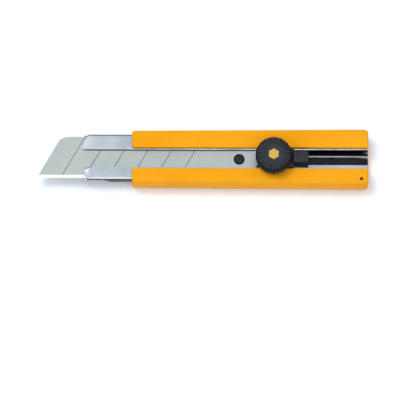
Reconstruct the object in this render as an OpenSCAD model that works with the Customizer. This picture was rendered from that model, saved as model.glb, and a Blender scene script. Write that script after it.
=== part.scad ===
// Extra heavy snap-off knife with a stainless blade channel and a ratchet lock wheel.
// It lies on its back. X runs from the blade tip (-X) to the rear end (+X), the cutting
// edge faces -Y, and the slot with the lock wheel faces +Z. All sizes are in millimetres.

/* [Handle] */
// Length of the yellow handle
handle_l = 140; // [135:1:150]
// Width of the yellow handle at its rear end
handle_w = 34; // [33.4:0.1:36]
// How far each side of the handle draws in towards its front end
handle_taper = 1; // [0:0.05:1]
// Height of the handle's front face above the resting plane
handle_top = 15.5; // [15:0.1:16]
// Radius of the handle's long edges
handle_edge_r = 2; // [1:0.5:3]
// Plan radius of the handle's rear corners
handle_rear_r = 2.8; // [1:0.2:3]
// Plan radius of the handle's front corners
handle_front_r = 1.6; // [1:0.2:1.6]
// Width of the slot between the handle's rails
slot_w = 12.4; // [12.2:0.1:13]
// Radius of the lanyard hole
lanyard_r = 1; // [0.8:0.1:1.2]

/* [Grip] */
// Length of the rubber grip
grip_l = 107.5; // [107:0.5:108.5]
// Width of the rubber grip
grip_w = 27; // [24:0.5:27]
// Number of cushions on the grip
grip_pads = 9; // [4:1:9]
// Distance from one pair of grooves to the next, counted from the rear end
grip_pitch = 11.7; // [11:0.1:12]
// Height that the grip stands proud of the handle's back
grip_proud = 0.6; // [0.3:0.1:1]

/* [Blade channel] */
// Outer width of the channel
channel_w = 27.5; // [27.3:0.1:27.6]
// Thickness of the stainless sheet
sheet = 0.9; // [0.7:0.05:1]
// Width of the gap between the two lips
lip_gap = 10.4; // [10.2:0.1:11]
// Reach of the channel's arrow nose ahead of the handle
nose_reach = 34.9; // [34:0.1:36]

/* [Blade] */
// Width of the blade
blade_w = 25; // [24.5:0.1:25.2]
// Thickness of the blade
blade_t = 0.7; // [0.5:0.05:0.7]
// Distance from one score line to the next
snap_pitch = 14; // [12:0.5:15]
// Number of score lines
snap_lines = 6; // [4:1:7]
// Length of the cutting edge
edge_l = 126; // [120:1:128]
// Reach of the blade tip ahead of the handle
blade_reach = 56.3; // [54:0.1:58]

/* [Lock wheel] */
// Diameter of the lock wheel
wheel_d = 21.4; // [20:0.2:22]
// Height of the wheel's top above the resting plane
wheel_top = 25.5; // [25:0.1:27]
// Number of grip notches round the wheel
wheel_notches = 38; // [24:1:44]
// Width across the flats of the brass nut
nut_af = 6.1; // [6:0.1:7]

/* [Hidden] */
$fn = 64;

// Stations along X
x_rear = (handle_l + blade_reach) / 2;
x_front = x_rear - handle_l;
taper_angle = atan(handle_taper / handle_l);
x_tip = -x_rear;
x_channel_rear = x_rear - 0.2;
x_nose = x_front - nose_reach;
x_corner = x_nose + 6.8;          // where the nose's slants meet the channel's sides
x_ramp_rear = x_front - 11.9;     // the plate starts to step up to the rim here
x_ramp_front = x_front - 17.8;
x_bead = x_front - 5.2;           // centre of the bead's round end
x_knob = x_rear - 56.1;
x_pin = x_knob - 20.4;
x_tail = x_rear - 35.5;           // rear end of the slider

// Heights
back_z = grip_proud;
plate_z = 5;
lip_z = 12.4;
rim_z = 9.55;
blade_z = lip_z - sheet - 0.05 - blade_t;
floor_z = plate_z + sheet;
roof_z = lip_z - sheet;

// Places across the width
channel_y = 0.35;
slot_y = -0.8;
blade_y = channel_y - 0.15 - blade_w / 2;
grip_y = -0.6;
slip = 0.05;                      // gap between pieces that are pressed together
eps = 0.01;

// Bead in the channel's floor
bead_y = 3.1;
bead_r = 2.2;
bead_z = plate_z + 0.2;

// Lanyard hole
hole_x = x_rear - 4.1;
hole_y = -13.4;
hole_wall = 1.5;

// Grip
grip_x1 = x_rear - 5.3;
grip_x0 = grip_x1 - grip_l;
grip_r = 3.3;
grip_pocket = 2.4;                // depth of the pocket in the handle's back
peg_r = 2;
peg_h = 1.6;
groove_pair = 1.8;                // width over one double groove
groove_w = 0.6;
groove_d = 1.2;

// Badge
badge_x = x_front + 13.6;
badge_y = 2.4;
badge_r = 7.7;
badge_t = 0.8;

// Blade
slant = 60;
slant_run = blade_w / tan(slant);
bevel_w = 2;
edge_flat = 0.06;
score_w = 0.3;
score_d = 0.2;
hole_r = 3.3;
pin_r = 3.2;

// Slider and clamp
tongue_z = floor_z + 0.25;
tongue_top = blade_z - 0.05;
tongue_half = 12.4;
nose_half = 6.5;
tail_half = 8;
plate_t = 1.5;
clamp_top = roof_z - 0.02;
clamp_z = clamp_top - plate_t;
clamp_rear = x_knob + 13.9;
clamp_gap = 1;                    // from the blade's rear edge to the clamp plate
clamp_drop = 0.75;                // room for the clamp plate to move down
stud_r = 2;
stud_head_r = 4.2;
stud_head_t = 0.8;
neck_w = 4.2;
pad_half = 6;
pad_top = 16.6;
slider_neck = lip_gap / 2 - 0.3;
rib_half = 3.45;
rib_top = 19.2;
screw_x = x_tail - 3.2;
screw_y = -1.6;
screw_r = 1.25;
screw_head_r = 2.3;
screw_head_t = 0.9;

// Lock wheel and its stack
wheel_z = 17.5;
wheel_r = wheel_d / 2;
recess_r = 7.7;
recess_z = 18.9;
disc_t = 0.8;
disc_r = 5.9;
tooth_h = 0.35;
teeth = 24;
washer_z = pad_top + disc_t + 0.02;
washer_t = 0.5;
wave_z = washer_z + washer_t + 0.02;
wave_h = 0.6;
wave_t = 0.3;
nut_z = wave_z + wave_h + 0.02;
nut_flange_t = 0.7;
nut_flange_r = 4.2;
nut_top = wheel_top - 0.3;
nut_corner = nut_af / 2 / cos(30);

// ---- helpers -------------------------------------------------------------------------

// A profile drawn in Y and Z, drawn out along X
module along_x(x0, x1) {
    translate([x0, 0, 0]) rotate([90, 0, 90]) linear_extrude(x1 - x0) children();
}

// A profile drawn in X and Z, drawn out along Y
module along_y(y0, y1) {
    translate([0, y1, 0]) rotate([90, 0, 0]) linear_extrude(y1 - y0) children();
}

// A flat outline drawn out from z0 up to z1
module up(z0, z1) {
    translate([0, 0, z0]) linear_extrude(z1 - z0) children();
}

module rect(x0, x1, y0, y1) {
    translate([x0, y0]) square([x1 - x0, y1 - y0]);
}

module round_rect(x0, x1, y0, y1, r) {
    rect(x0 + r, x1 - r, y0, y1);
    rect(x0, x1, y0 + r, y1 - r);
    for (x = [x0 + r, x1 - r], y = [y0 + r, y1 - r])
        translate([x, y]) circle(r);
}

// A round bar on the lock wheel's axis
module on_axis(r, z0, z1) {
    translate([x_knob, slot_y, z0]) cylinder(r = r, h = z1 - z0);
}

// X of the blade's slanted line that starts at x on the cutting edge, at height y
function slant_x(x, y) = x + (y - blade_y) / tan(slant);

// ---- handle ----------------------------------------------------------------------------

// One long side of the handle, swung in by the taper, with the rest of the block left wide
module handle_side() {
    half = handle_w / 2;
    x_mid = (x_front + x_rear) / 2;
    translate([x_rear, half, 0]) rotate([0, 0, taper_angle]) translate([-x_rear, -half, 0])
        intersection() {
            up(back_z, handle_top) {
                round_rect(x_front - half * sin(taper_angle), x_mid + 10, -handle_w, half,
                           handle_front_r);
                round_rect(x_mid - 10, x_rear, -handle_w, half, handle_rear_r);
            }
            along_x(x_front - 1, x_rear + 1)
                round_rect(-handle_w, half, back_z, handle_top, handle_edge_r);
        }
}

module handle_block() {
    intersection() {
        handle_side();
        mirror([0, 1, 0]) handle_side();
        along_y(-handle_w / 2, handle_w / 2)
            round_rect(x_front, x_rear, back_z, handle_top, 1.5);
    }
}

// Room for the blade channel, with a post left standing round the lanyard hole
module channel_room() {
    difference() {
        along_x(x_front - 1, x_rear + 1)
            rect(channel_y - channel_w / 2 - slip, channel_y + channel_w / 2 + slip,
                 plate_z - slip, lip_z + slip);
        translate([hole_x, hole_y, 0]) cylinder(r = lanyard_r + hole_wall, h = 20);
    }
}

// Rounds one inner corner at the front of a rail; side is 1 above the slot, -1 below it
module rail_corner(side) {
    r = 2;
    translate([x_front, slot_y + side * slot_w / 2, 0]) scale([1, side, 1])
        up(lip_z - 1, handle_top + 1) difference() {
            translate([-1, -1]) square(r + 1);
            translate([r, r]) circle(r);
        }
}

module grip_pegs(r, z0, z1) {
    for (i = [0 : 3])
        translate([grip_x0 + grip_l * (i + 0.5) / 4, grip_y, z0])
            cylinder(r = r, h = z1 - z0);
}

module handle_body() {
    color("orange") difference() {
        handle_block();
        channel_room();
        along_x(x_front - 1, x_rear + 1)
            rect(slot_y - slot_w / 2, slot_y + slot_w / 2, lip_z, handle_top + 1);
        for (side = [-1, 1]) rail_corner(side);
        up(back_z - 1, back_z + grip_pocket)
            round_rect(grip_x0, grip_x1, grip_y - grip_w / 2, grip_y + grip_w / 2, grip_r);
        grip_pegs(peg_r, back_z, back_z + grip_pocket + peg_h);
        translate([badge_x, badge_y, back_z - 1]) cylinder(r = badge_r, h = badge_t + 1);
        translate([hole_x, hole_y, -1]) cylinder(r = lanyard_r, h = handle_top + 2);
    }
}

module grip_grooves() {
    for (i = [1 : grip_pads - 1], side = [-1, 1])
        translate([grip_x1 - i * grip_pitch + side * (groove_pair - groove_w) / 2 - groove_w / 2,
                   grip_y - grip_w, -1])
            cube([groove_w, 2 * grip_w, groove_d + 1]);
}

module grip_pad() {
    color("dimgray") {
        difference() {
            up(0, back_z + grip_pocket - slip)
                round_rect(grip_x0 + slip, grip_x1 - slip, grip_y - grip_w / 2 + slip,
                           grip_y + grip_w / 2 - slip, grip_r - slip);
            grip_grooves();
        }
        grip_pegs(peg_r - slip, back_z + grip_pocket - 1, back_z + grip_pocket + peg_h - 0.2);
    }
}

module back_badge() {
    color("black") translate([badge_x, badge_y, back_z])
        cylinder(r = badge_r - slip, h = badge_t - slip);
}

// ---- blade channel -----------------------------------------------------------------------

// Arrow outline of the pocket at the nose; d draws its walls inwards
module pocket_plan(d, x_back) {
    half = 8 - d;
    tip_half = 1.2 - d * tan(20);
    shoulder = x_front - 25.8 + d * tan(25);
    tip = x_front - 31.5 + d;
    translate([0, channel_y]) polygon([[x_back, half], [shoulder, half], [tip, tip_half],
                                       [tip, -tip_half], [shoulder, -half], [x_back, -half]]);
}

// Side view of the tray, raised by d from its outer surface
module tray_side(d, x_end) {
    shift = d * tan(atan((rim_z - plate_z) / (x_ramp_rear - x_ramp_front)) / 2);
    polygon([[x_end, plate_z + d], [x_ramp_rear + shift, plate_z + d],
             [x_ramp_front + shift, rim_z + d], [x_nose - 1, rim_z + d],
             [x_nose - 1, lip_z - d], [x_end, lip_z - d]]);
}

// Plan of the nose: two slants that meet at a short blunt tip
module nose_plan() {
    half = channel_w / 2;
    tip_half = 2;
    translate([0, channel_y])
        polygon([[x_channel_rear, half], [x_corner, half], [x_nose, tip_half],
                 [x_nose, -tip_half], [x_corner, -half], [x_channel_rear, -half]]);
}

// Plan of the lips, which end short of the nose
module lip_plan() {
    half = channel_w / 2;
    polygon([[x_channel_rear, channel_y + half], [x_front - 26, channel_y + half],
             [x_front - 29.2, 6.6], [x_front - 28.8, 5.2], [x_front - 26.2, 4.4],
             [x_front - 27.4, -6], [x_front - 28.4, -7.2], [x_front - 28.7, -9.1],
             [x_front - 26.7, channel_y - half], [x_channel_rear, channel_y - half]]);
}

module bead(r, x1) {
    translate([x_bead, bead_y, bead_z]) sphere(r);
    translate([x_bead, bead_y, bead_z]) rotate([0, 90, 0]) cylinder(r = r, h = x1 - x_bead);
}

module blade_channel() {
    half = channel_w / 2;
    bend = 1.3;
    color("lightsteelblue") difference() {
        union() {
            difference() {
                union() {
                    intersection() {
                        along_y(channel_y - half, channel_y + half)
                            tray_side(0, x_channel_rear);
                        along_x(x_nose - 1, x_channel_rear)
                            round_rect(channel_y - half, channel_y + half, plate_z, lip_z, bend);
                    }
                    up(plate_z, rim_z + sheet) pocket_plan(0, x_ramp_rear + 2);
                }
                along_y(channel_y - half + sheet, channel_y + half - sheet)
                    tray_side(sheet, x_channel_rear + 1);
                up(floor_z, rim_z + sheet + eps) pocket_plan(sheet, x_ramp_rear + 3);
            }
            intersection() {
                bead(bead_r, x_channel_rear);
                along_x(x_nose, x_channel_rear)
                    rect(bead_y - 3, bead_y + 3, plate_z, lip_z);
            }
        }
        bead(bead_r - sheet, x_channel_rear + 1);
        along_x(x_nose - 1, x_channel_rear + 1)
            rect(slot_y - lip_gap / 2, slot_y + lip_gap / 2, roof_z - eps, lip_z + 1);
        up(0, lip_z + 1) difference() {
            rect(x_nose - 2, x_corner + 2, -20, 20);
            nose_plan();
        }
        up(rim_z + sheet + 0.3, lip_z + 1) difference() {
            rect(x_nose - 2, x_front - 20, -20, 20);
            lip_plan();
        }
        translate([hole_x - lanyard_r - hole_wall - 0.3, -20, 0])
            cube([20, 20 + hole_y + lanyard_r + hole_wall + 0.3, 20]);
    }
}

// ---- blade --------------------------------------------------------------------------------

module blade_plan() {
    top = blade_y + blade_w;
    x_end = x_tip + edge_l;
    polygon([[x_tip, blade_y], [x_end, blade_y], [slant_x(x_end, top), top],
             [slant_x(x_tip, top) + 2.7, top], [slant_x(x_tip, top - 1.7), top - 1.7]]);
}

module blade_section() {
    top = blade_y + blade_w;
    mid = blade_z + blade_t / 2;
    polygon([[top, blade_z], [top, blade_z + blade_t], [blade_y + bevel_w, blade_z + blade_t],
             [blade_y, mid + edge_flat / 2], [blade_y, mid - edge_flat / 2],
             [blade_y + bevel_w, blade_z]]);
}

module blade() {
    color("silver") difference() {
        intersection() {
            up(blade_z, blade_z + blade_t) blade_plan();
            along_x(x_tip - 1, x_tip + edge_l + slant_run + 1) blade_section();
        }
        for (i = [1 : snap_lines])
            translate([x_tip + i * snap_pitch, blade_y, blade_z + blade_t - score_d])
                rotate([0, 0, slant]) translate([-2, -score_w / 2, 0])
                    cube([blade_w / sin(slant) + 4, score_w, 1]);
        translate([x_pin, slot_y, blade_z - 1]) cylinder(r = hole_r, h = blade_t + 2);
    }
}

module blade_pin() {
    socket_r = 1.1;
    color("black") difference() {
        translate([x_pin, slot_y, 0]) union() {
            translate([0, 0, tongue_top]) cylinder(r = pin_r, h = blade_z + blade_t - tongue_top);
            translate([0, 0, tongue_z + 1]) cylinder(r = 2, h = tongue_top - tongue_z);
        }
        translate([x_pin, slot_y, blade_z + blade_t - 0.4]) cylinder(r = socket_r, h = 1);
    }
}

// ---- slider -------------------------------------------------------------------------------

module tongue_blank() {
    step_z = clamp_z - stud_head_t + 0.25 - clamp_drop / 2;
    up(tongue_z, tongue_top)
        round_rect(x_pin - 8, x_pin + 12, channel_y - nose_half, channel_y + nose_half, 5);
    up(tongue_z, step_z)
        round_rect(x_pin + 6.4, clamp_rear, channel_y - tongue_half,
                   channel_y + tongue_half, 1.5);
    // Shelf behind the blade, cut parallel to the blade's rear edge
    x_edge = x_tip + edge_l;
    low = channel_y - tongue_half;
    high = channel_y + tongue_half;
    up(tongue_z, tongue_top)
        polygon([[x_pin + 6.4, low], [slant_x(x_edge, low) - 0.5, low],
                 [slant_x(x_edge, high) - 0.5, high], [x_pin + 6.4, high]]);
    up(tongue_z, roof_z - 0.2)
        rect(clamp_rear + 0.5, x_tail, channel_y - tail_half, channel_y + tail_half);
    up(tongue_z, step_z)
        rect(clamp_rear - 4, x_tail, channel_y - tail_half, channel_y + tail_half);
}

module slider_tongue() {
    color("black") difference() {
        tongue_blank();
        // Groove over the channel's bead
        translate([x_pin - 20, bead_y, bead_z]) rotate([0, 90, 0])
            cylinder(r = bead_r + 0.35, h = 80);
        // Room for the stud's head
        on_axis(stud_head_r + 0.4, clamp_z - stud_head_t - clamp_drop - 0.1, lip_z);
        translate([x_pin, slot_y, tongue_z + 1 - slip]) cylinder(r = 2 + slip, h = 10);
        translate([screw_x, screw_y, 0]) cylinder(r = screw_r + slip, h = 20);
        translate([screw_x, screw_y, 0])
            cylinder(r = screw_head_r + 0.1, h = tongue_z + screw_head_t + 0.2);
    }
}

module slider_body() {
    x_edge = x_tip + edge_l;
    low = slot_y - slider_neck;
    high = slot_y + slider_neck;
    x_rib = x_knob + wheel_r + 0.4;
    color("black") difference() {
        union() {
            // Neck between the lips, with its front cut parallel to the blade's rear edge
            up(clamp_top + 0.04, lip_z + 0.1)
                polygon([[slant_x(x_edge, low) + 0.3, low], [x_tail, low], [x_tail, high],
                         [slant_x(x_edge, high) + 0.3, high]]);
            up(lip_z + 0.05, pad_top)
                round_rect(x_knob - 8, x_rib + 1, slot_y - pad_half, slot_y + pad_half, 3);
            up(clamp_top + 0.04, rib_top)
                rect(x_rib, x_tail, slot_y - rib_half, slot_y + rib_half);
            up(roof_z - 0.2 + slip, lip_z)
                rect(clamp_rear + 0.5, x_tail, slot_y - rib_half, slot_y + rib_half);
            for (side = [-1, 1])
                translate([x_knob, slot_y + side * 3.2, pad_top - 1])
                    cylinder(r = 0.5, h = 1 + disc_t - 0.1);
        }
        on_axis(stud_r + 0.06, 0, wheel_top);
        translate([screw_x, screw_y, 0]) cylinder(r = screw_r + slip, h = 15.2);
    }
}

module slider_screw() {
    color("silver") translate([screw_x, screw_y, tongue_z + 0.1]) difference() {
        union() {
            cylinder(r = screw_head_r, h = screw_head_t);
            cylinder(r = screw_r, h = 8.5);
        }
        for (turn = [0, 90]) rotate([0, 0, turn])
            translate([-1.3, -0.25, -1]) cube([2.6, 0.5, 1.5]);
    }
}

module clamp_plate() {
    x_edge = x_tip + edge_l + clamp_gap;
    low = channel_y - tongue_half;
    high = channel_y + tongue_half;
    color("gray") difference() {
        up(clamp_z, clamp_top)
            polygon([[slant_x(x_edge, low), low], [clamp_rear, low], [clamp_rear, high],
                     [slant_x(x_edge, high), high]]);
        translate([x_knob - neck_w / 2, slot_y - neck_w / 2, clamp_z - 1])
            cube([neck_w, neck_w, plate_t + 2]);
    }
}

module lock_stud() {
    neck = neck_w - 2 * slip;
    color("goldenrod") {
        on_axis(stud_head_r, clamp_z - stud_head_t, clamp_z);
        translate([x_knob - neck / 2, slot_y - neck / 2, clamp_z - eps])
            cube([neck, neck, plate_t + eps]);
        on_axis(stud_r, clamp_top - eps, wheel_top - 0.6);
    }
}

// ---- lock wheel -----------------------------------------------------------------------------

module wheel_profile() {
    polygon([[0, wheel_z], [wheel_r - 0.5, wheel_z], [wheel_r, wheel_z + 1],
             [wheel_r, wheel_top - 1.1], [wheel_r - 1, wheel_top - 0.35],
             [6.9, wheel_top], [6.3, wheel_top - 0.4], [0, wheel_top - 0.4]]);
}

module lock_wheel() {
    color("black") difference() {
        translate([x_knob, slot_y, 0]) rotate_extrude() wheel_profile();
        on_axis(recess_r, wheel_z - 1, recess_z);
        on_axis(nut_flange_r + slip, nut_z - 1, nut_z + nut_flange_t + slip);
        translate([x_knob, slot_y, 0]) rotate([0, 0, 30])
            cylinder(r = nut_corner + slip, h = wheel_top + 1, $fn = 6);
        for (i = [0 : wheel_notches - 1])
            translate([x_knob, slot_y, 0]) rotate([0, 0, 360 / wheel_notches * i]) {
                translate([wheel_r + 0.15, 0, wheel_z - 1]) cylinder(r = 0.5, h = 12, $fn = 24);
                translate([7.3, -0.3, wheel_top - 0.75]) cube([4, 0.6, 2]);
            }
    }
}

module hex_nut() {
    color("gold") difference() {
        union() {
            translate([x_knob, slot_y, nut_z]) rotate([0, 0, 30])
                cylinder(r = nut_corner, h = nut_top - nut_z, $fn = 6);
            on_axis(nut_flange_r, nut_z, nut_z + nut_flange_t);
        }
        on_axis(stud_r + slip, 0, wheel_top + 1);
    }
}

module flat_washer() {
    color("silver") difference() {
        on_axis(3.9, washer_z, washer_z + washer_t);
        on_axis(stud_r + 0.3, 0, wheel_top);
    }
}

// Spring washer bent into three waves: four corners to each station round the ring
module wave_washer() {
    steps = 48;
    r_in = 2.35;
    r_out = 3.8;
    swing = (wave_h - wave_t) / 2;
    points = [for (i = [0 : steps - 1], k = [0 : 3])
        let (a = 360 / steps * i, r = (k == 0 || k == 3) ? r_in : r_out,
             z = swing * (1 + cos(3 * a)) + (k < 2 ? 0 : wave_t))
        [r * cos(a), r * sin(a), z]];
    faces = [for (i = [0 : steps - 1], k = [0 : 3])
        let (j = (i + 1) % steps, m = (k + 1) % 4)
        [4 * i + k, 4 * i + m, 4 * j + m, 4 * j + k]];
    color("silver") translate([x_knob, slot_y, wave_z]) polyhedron(points, faces);
}

module ratchet_disc() {
    color("silver") difference() {
        union() {
            on_axis(disc_r, pad_top, pad_top + disc_t);
            intersection() {
                on_axis(disc_r, pad_top, pad_top + 2);
                translate([x_knob, slot_y, pad_top + disc_t - eps])
                    for (i = [0 : teeth - 1]) rotate([0, 0, 360 / teeth * i])
                        translate([4.3, -0.3, 0]) cube([2, 0.6, tooth_h + eps]);
            }
        }
        on_axis(stud_r + 0.3, 0, wheel_top);
        for (side = [-1, 1])
            translate([x_knob, slot_y + side * 3.2, 0]) cylinder(r = 0.5 + slip, h = 30);
    }
}

module click_spring() {
    nose_z = pad_top + disc_t + tooth_h + 0.06;
    ring_z = recess_z - 0.3;
    ring_t = 0.25;
    nose_r = 0.5;
    arm_r = 5.1;
    color("silver") difference() {
        union() {
            // Outer ring under the wheel, and an inner ring that the slits part into two arms
            difference() {
                on_axis(7.4, ring_z, ring_z + ring_t);
                on_axis(6.1, 0, wheel_top);
            }
            difference() {
                on_axis(5.7, ring_z, ring_z + ring_t);
                on_axis(4.5, 0, wheel_top);
            }
            for (side = [0, 180]) translate([x_knob, slot_y, 0]) rotate([0, 0, side]) {
                up(ring_z, ring_z + ring_t) rect(5.2, 6.6, -0.8, 0.8);
                rotate([0, 0, -40]) translate([arm_r, 0, nose_z])
                    cylinder(r = nose_r, h = ring_z + ring_t - nose_z);
            }
        }
        for (side = [0, 180]) translate([x_knob, slot_y, 0]) rotate([0, 0, side - 22])
            up(ring_z - 1, ring_z + 1) rect(4, 5.9, -0.8, 0.8);
    }
}

handle_body();
grip_pad();
back_badge();
blade_channel();
blade();
blade_pin();
slider_body();
slider_tongue();
slider_screw();
clamp_plate();
lock_stud();
lock_wheel();
hex_nut();
flat_washer();
wave_washer();
ratchet_disc();
click_spring();
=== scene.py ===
"""Heavy 25 mm snap-off knife with a ratchet lock wheel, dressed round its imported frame.

Lengths in this file are millimetres until build() turns them into metres. X runs from the
blade tip to the rear end, +Y is the spine side of the blade, +Z is up out of the slot.
"""
import math

import bmesh
import bpy
from mathutils import Matrix, Quaternion, Vector


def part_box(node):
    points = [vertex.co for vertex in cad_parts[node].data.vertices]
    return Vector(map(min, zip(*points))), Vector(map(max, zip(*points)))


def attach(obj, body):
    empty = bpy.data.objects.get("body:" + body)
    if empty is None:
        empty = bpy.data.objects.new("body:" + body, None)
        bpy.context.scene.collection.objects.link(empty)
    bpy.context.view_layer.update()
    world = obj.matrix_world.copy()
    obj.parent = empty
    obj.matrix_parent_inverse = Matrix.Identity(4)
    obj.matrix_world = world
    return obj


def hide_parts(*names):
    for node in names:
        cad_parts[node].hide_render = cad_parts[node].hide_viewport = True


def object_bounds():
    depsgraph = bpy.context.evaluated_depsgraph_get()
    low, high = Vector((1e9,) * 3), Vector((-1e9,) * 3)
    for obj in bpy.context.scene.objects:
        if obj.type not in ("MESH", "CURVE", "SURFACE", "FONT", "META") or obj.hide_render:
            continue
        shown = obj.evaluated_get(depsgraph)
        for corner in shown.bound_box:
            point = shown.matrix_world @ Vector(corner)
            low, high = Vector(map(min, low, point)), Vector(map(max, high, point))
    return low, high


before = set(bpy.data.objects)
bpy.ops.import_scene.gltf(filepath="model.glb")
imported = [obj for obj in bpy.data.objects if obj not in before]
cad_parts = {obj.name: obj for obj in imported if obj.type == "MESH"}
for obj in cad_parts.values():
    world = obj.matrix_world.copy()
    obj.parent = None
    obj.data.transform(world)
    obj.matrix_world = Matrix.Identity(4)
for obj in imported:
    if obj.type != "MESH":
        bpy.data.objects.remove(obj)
cad_box = [list(corner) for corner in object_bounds()]
MM = 0.001


# ---- places, read from the frame ---------------------------------------------

def node_box(node):
    """Lowest and highest corner of a CAD node, in millimetres."""
    low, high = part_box(node)
    return Vector(low) / MM, Vector(high) / MM


HANDLE_LOW, HANDLE_HIGH = node_box("handle_body")
CHANNEL_LOW, CHANNEL_HIGH = node_box("blade_channel")
BLADE_LOW, BLADE_HIGH = node_box("blade")
GRIP_LOW, GRIP_HIGH = node_box("grip_pad")
BADGE_LOW, BADGE_HIGH = node_box("back_badge")
PIN_LOW, PIN_HIGH = node_box("blade_pin")
WHEEL_LOW, WHEEL_HIGH = node_box("lock_wheel")
NUT_LOW, NUT_HIGH = node_box("hex_nut")
SLIDER_LOW, SLIDER_HIGH = node_box("slider_body")

BADGE_X, BADGE_Y = (BADGE_LOW.x + BADGE_HIGH.x) / 2, (BADGE_LOW.y + BADGE_HIGH.y) / 2
BADGE_R = (BADGE_HIGH.x - BADGE_LOW.x) / 2
WHEEL_X = (WHEEL_LOW.x + WHEEL_HIGH.x) / 2
SLOT_Y = (WHEEL_LOW.y + WHEEL_HIGH.y) / 2
CHANNEL_Y = (CHANNEL_LOW.y + CHANNEL_HIGH.y) / 2
SLOT_HALF = 6.2  # half of the gap between the handle's rails
LIP_HALF = 5.2  # half of the gap between the channel's lips
SHEET = 0.9  # thickness of the channel's steel
LIP_Z = CHANNEL_HIGH.z
PLATE_Z = CHANNEL_LOW.z


# ---- mesh helpers ------------------------------------------------------------

def build(name, verts, faces, body, material, replaces=(), sharp=35):
    """A mesh piece from millimetre corners, riding on a body, smooth but for sharp edges."""
    mesh = bpy.data.meshes.new(name)
    mesh.from_pydata([Vector(v) * MM for v in verts], [], faces)
    mesh.validate()
    obj = bpy.data.objects.new(name, mesh)
    bpy.context.scene.collection.objects.link(obj)
    tidy_normals(obj)
    for m in material if isinstance(material, (list, tuple)) else [material]:
        mesh.materials.append(m)
    smooth(obj, sharp)
    if body:
        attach(obj, body)
    for node in replaces:
        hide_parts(node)
    return obj


def tidy_normals(obj):
    """Merges doubled corners and turns every face outwards."""
    bm = bmesh.new()
    bm.from_mesh(obj.data)
    bmesh.ops.remove_doubles(bm, verts=bm.verts, dist=1e-7)
    bmesh.ops.recalc_face_normals(bm, faces=bm.faces)
    bm.to_mesh(obj.data)
    bm.free()


def smooth(obj, sharp):
    """Smooth shading, but for edges sharper than an angle in degrees."""
    obj.data.shade_smooth()
    obj.data.set_sharp_from_angle(angle=math.radians(sharp))


def apply_modifiers(obj):
    """Turns the modifiers' result into the mesh itself."""
    graph = bpy.context.evaluated_depsgraph_get()
    graph.update()
    mesh = bpy.data.meshes.new_from_object(obj.evaluated_get(graph), depsgraph=graph)
    old = obj.data
    obj.modifiers.clear()
    obj.data = mesh
    bpy.data.meshes.remove(old)


def combine(target, other, operation):
    """Boolean of target with other, which is used up."""
    mod = target.modifiers.new("combine", "BOOLEAN")
    mod.object = other
    mod.operation = operation
    mod.solver = "EXACT"
    apply_modifiers(target)
    bpy.data.objects.remove(other)


def round_edges(obj, width, segments, angle):
    """Rounds the edges that turn by more than an angle in degrees."""
    mod = obj.modifiers.new("round", "BEVEL")
    mod.width = width * MM
    mod.segments = segments
    mod.limit_method = "ANGLE"
    mod.angle_limit = math.radians(angle)
    mod.use_clamp_overlap = True
    apply_modifiers(obj)


def loft(rings, caps=True):
    """Corners and faces of a tube through rings that have equally many points."""
    count = len(rings[0])
    verts = [p for ring in rings for p in ring]
    faces = []
    for i in range(len(rings) - 1):
        for k in range(count):
            m = (k + 1) % count
            faces.append((i * count + k, i * count + m, (i + 1) * count + m, (i + 1) * count + k))
    if caps:
        faces.append(tuple(range(count)))
        faces.append(tuple(reversed(range(len(verts) - count, len(verts)))))
    return verts, faces


def fillet(corners, steps=5):
    """A closed outline with each (a, b, radius) corner rounded to steps + 1 points."""
    out = []
    count = len(corners)
    for i, (a, b, r) in enumerate(corners):
        here = Vector((a, b))
        before = (Vector(corners[i - 1][:2]) - here).normalized()
        after = (Vector(corners[(i + 1) % count][:2]) - here).normalized()
        half = before.angle(after) / 2
        reach = r / math.tan(half)
        centre = here + (before + after).normalized() * (r / math.sin(half))
        start = here + before * reach - centre
        end = here + after * reach - centre
        turn = start.angle_signed(end) if r > 0 else 0
        for k in range(steps + 1):
            p = start.copy()
            p.rotate(Matrix.Rotation(-turn * k / steps, 2))
            out.append(tuple(centre + p))
    return out


def lathe(profile, centre, segments, wobble=None):
    """Corners and faces of a closed (r, z) profile spun about a vertical axis.
    wobble(angle, index, r, z) may move each point."""
    rings = []
    for s in range(segments):
        angle = 2 * math.pi * s / segments
        ring = []
        for index, (r, z) in enumerate(profile):
            if wobble:
                r, z = wobble(angle, index, r, z)
            ring.append((centre[0] + r * math.cos(angle), centre[1] + r * math.sin(angle), z))
        rings.append(ring)
    verts, faces = loft(rings + [rings[0]], caps=False)
    return verts, faces


def prism(name, outline, z0, z1, top_round=0.0, bottom_round=0.0, steps=3):
    """A loose upright block from a convex outline, with its top and bottom edges rounded."""
    centre = sum((Vector(p) for p in outline), Vector((0, 0))) / len(outline)

    def inset(d):
        ring = []
        count = len(outline)
        for i, p in enumerate(outline):
            a = (Vector(p) - Vector(outline[i - 1])).normalized()
            b = (Vector(outline[(i + 1) % count]) - Vector(p)).normalized()
            na, nb = Vector((-a.y, a.x)), Vector((-b.y, b.x))
            n = (na + nb).normalized()
            if n.dot(centre - Vector(p)) < 0:
                n = -n
            ring.append(Vector(p) + n * d / max(0.3, abs(n.dot(na))))
        return ring

    levels = []
    for k in range(steps + 1):
        f = math.pi / 2 * k / steps
        levels.append((bottom_round * (1 - math.sin(f)), z0 + bottom_round * (1 - math.cos(f))))
    for k in range(steps + 1):
        f = math.pi / 2 * k / steps
        levels.append((top_round * (1 - math.cos(f)), z1 - top_round * (1 - math.sin(f))))
    rings = [[(p.x, p.y, z) for p in inset(d)] for d, z in levels]
    verts, faces = loft(rings)
    return build(name, verts, faces, None, [])


def cylinder(name, x, y, r, z0, z1, segments=48):
    """A loose upright cylinder."""
    outline = [(x + r * math.cos(2 * math.pi * k / segments),
                y + r * math.sin(2 * math.pi * k / segments)) for k in range(segments)]
    return prism(name, outline, z0, z1, steps=1)


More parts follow.
